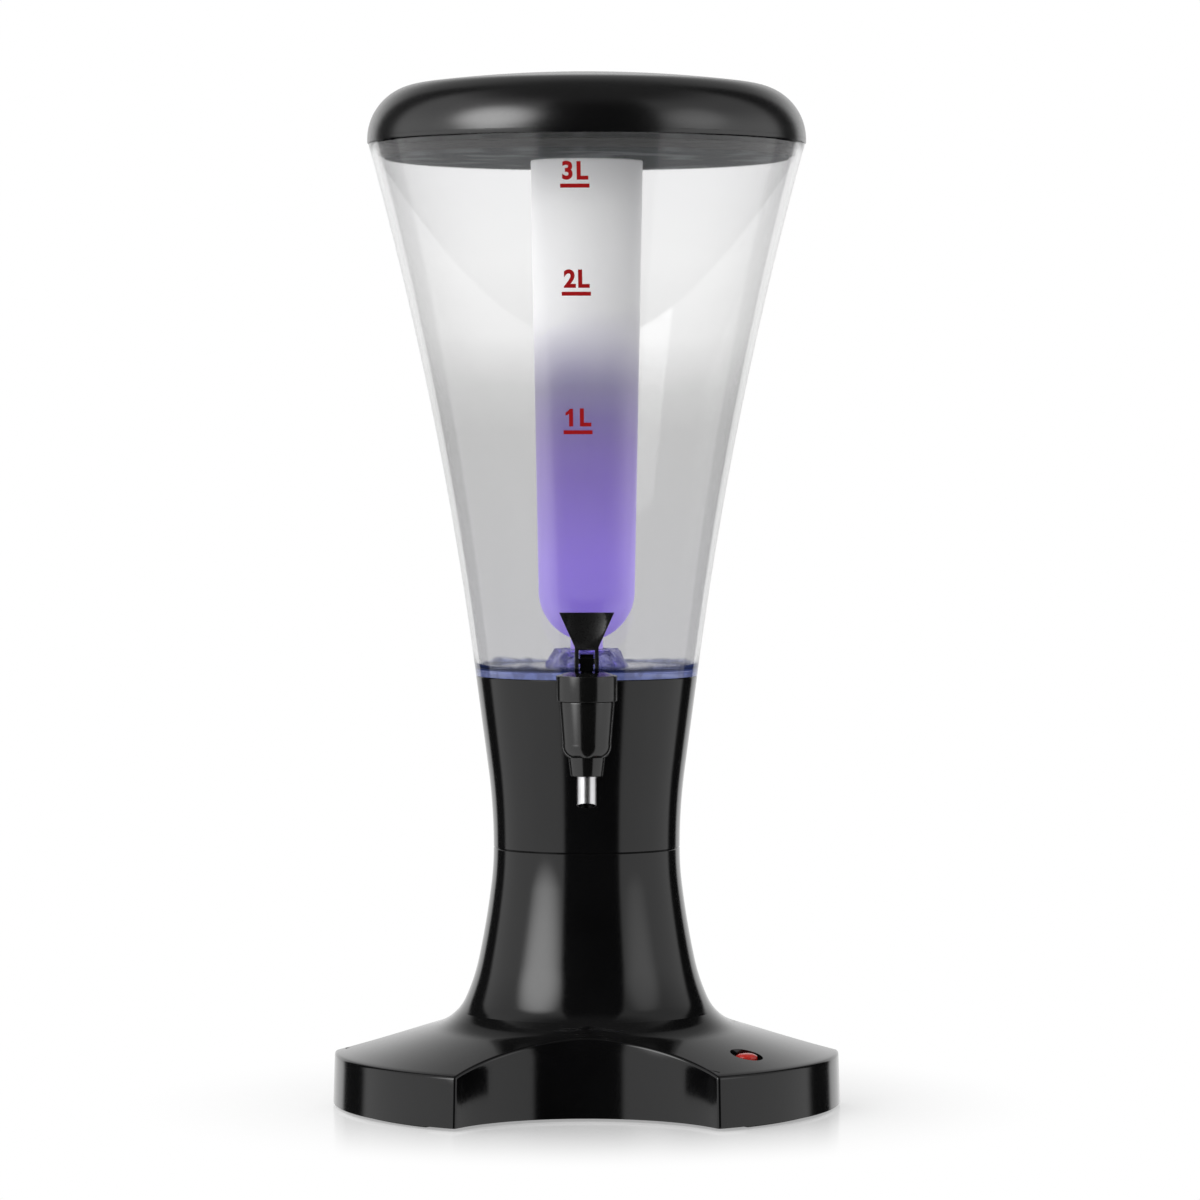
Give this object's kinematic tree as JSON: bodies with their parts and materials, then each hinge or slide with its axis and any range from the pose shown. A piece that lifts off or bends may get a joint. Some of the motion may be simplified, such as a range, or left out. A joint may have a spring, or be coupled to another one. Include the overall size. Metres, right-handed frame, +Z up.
{
  "type": "beer tower dispenser",
  "caption": "Tabletop drink tower: flared clear tank with ice tube and domed lid on a black neck and lobed base, self-closing tap in front, lamp under the tank floor.",
  "frame": {"origin": "on the tower's axis at the resting plane, under the feet", "axes": "+Z up along the tower's axis, tap towards -Y, power button on the +X side of the front"},
  "size_m": [0.2366, 0.2208, 0.4793],
  "materials": {
    "base_black": "glossy moulded black",
    "tap_black": "satin moulded black",
    "stem_black": "glossy moulded black",
    "clear_tank": "clear moulded plastic",
    "clear_tube": "clear moulded plastic",
    "clear_crown": "clear blue-violet moulded plastic",
    "lid_black": "glossy moulded black",
    "lid_grey": "smooth grey",
    "seal_rubber": "soft black",
    "foot_rubber": "fine matt",
    "steel": "plated",
    "spring_steel": "drawn wire and sheet",
    "chrome": "polished",
    "red_plastic": "glossy red",
    "switch_black": "moulded black",
    "board_green": "coated board",
    "chip_white": "light chips",
    "cell_skin": "printed sleeve",
    "lead_red_skin": "insulation",
    "lead_black_skin": "insulation"
  },
  "bodies": {
    "base": {"base_shell": "base_black", "base_plate": "base_black", "base_screws": "steel", "foot_pad_right": "foot_rubber", "foot_pad_left": "foot_rubber", "foot_pad_rear": "foot_rubber", "battery_cell_1": "cell_skin", "battery_cell_2": "cell_skin", "battery_cell_3": "cell_skin", "battery_contacts": "spring_steel", "switch_body": "switch_black", "switch_screws": "steel", "button_spring": "spring_steel", "lamp_post": "switch_black", "post_screws": "steel", "lamp_board": "board_green", "light_chips": "chip_white", "lamp_lens": "clear_crown", "lead_red": "lead_red_skin", "lead_link": "lead_red_skin", "lead_black": "lead_black_skin", "joint_ring": "seal_rubber"},
    "battery_door": {"battery_door": "base_black"},
    "power_button": {"power_cap": "red_plastic"},
    "container": {"neck_shell": "base_black", "neck_screws": "steel", "tank": "clear_tank", "tank_seal": "seal_rubber", "light_crown": "clear_crown", "outlet_elbow": "tap_black", "outlet_ring": "seal_rubber", "tap_gasket_outer": "seal_rubber", "tap_gasket_inner": "seal_rubber", "tap_body": "tap_black", "tap_bonnet": "tap_black", "spout_collar": "tap_black", "spout_tube": "chrome", "tap_spring": "spring_steel"},
    "stem": {"tap_stem": "stem_black", "seat_cup": "seal_rubber", "handle_pin": "steel"},
    "handle": {"tap_handle": "tap_black"},
    "ice_tube": {"ice_tube": "clear_tube"},
    "lid": {"lid_cover": "lid_black", "lid_underpan": "lid_grey", "lid_gasket": "seal_rubber"}
  },
  "joints": [
    {"name": "battery_door_slide", "type": "slide", "parent": "base", "child": "battery_door", "axis": [0, 1, 0], "range_m": [0, 0.006]},
    {"name": "power_press", "type": "slide", "parent": "base", "child": "power_button", "axis": [0, 0, -1], "range_m": [0, 0.002], "stiffness_N_per_m": 200, "deforming": ["button_spring"]},
    {"name": "container_lift", "type": "slide", "parent": "base", "child": "container", "axis": [0, 0, 1], "range_m": [0, 0.1]},
    {"name": "ice_tube_lift", "type": "slide", "parent": "container", "child": "ice_tube", "axis": [0, 0, 1], "range_m": [0, 0.24]},
    {"name": "lid_lift", "type": "slide", "parent": "ice_tube", "child": "lid", "axis": [0, 0, 1], "range_m": [0, 0.06]},
    {"name": "stem_lift", "type": "slide", "parent": "container", "child": "stem", "axis": [0, 0, 1], "range_m": [0, 0.0032], "deforming": ["tap_spring"]},
    {"name": "handle_tilt", "type": "hinge", "parent": "stem", "child": "handle", "pos_m": [0, -0.069, 0.2095], "axis": [1, 0, 0], "range_deg": [0, 45], "stiffness_Nm_per_rad": 0.008, "springref_deg": -20.05}
  ],
  "couplings": [
    {"joint": "stem_lift", "follows": "handle_tilt", "m_per_rad": 0.004}
  ]
}
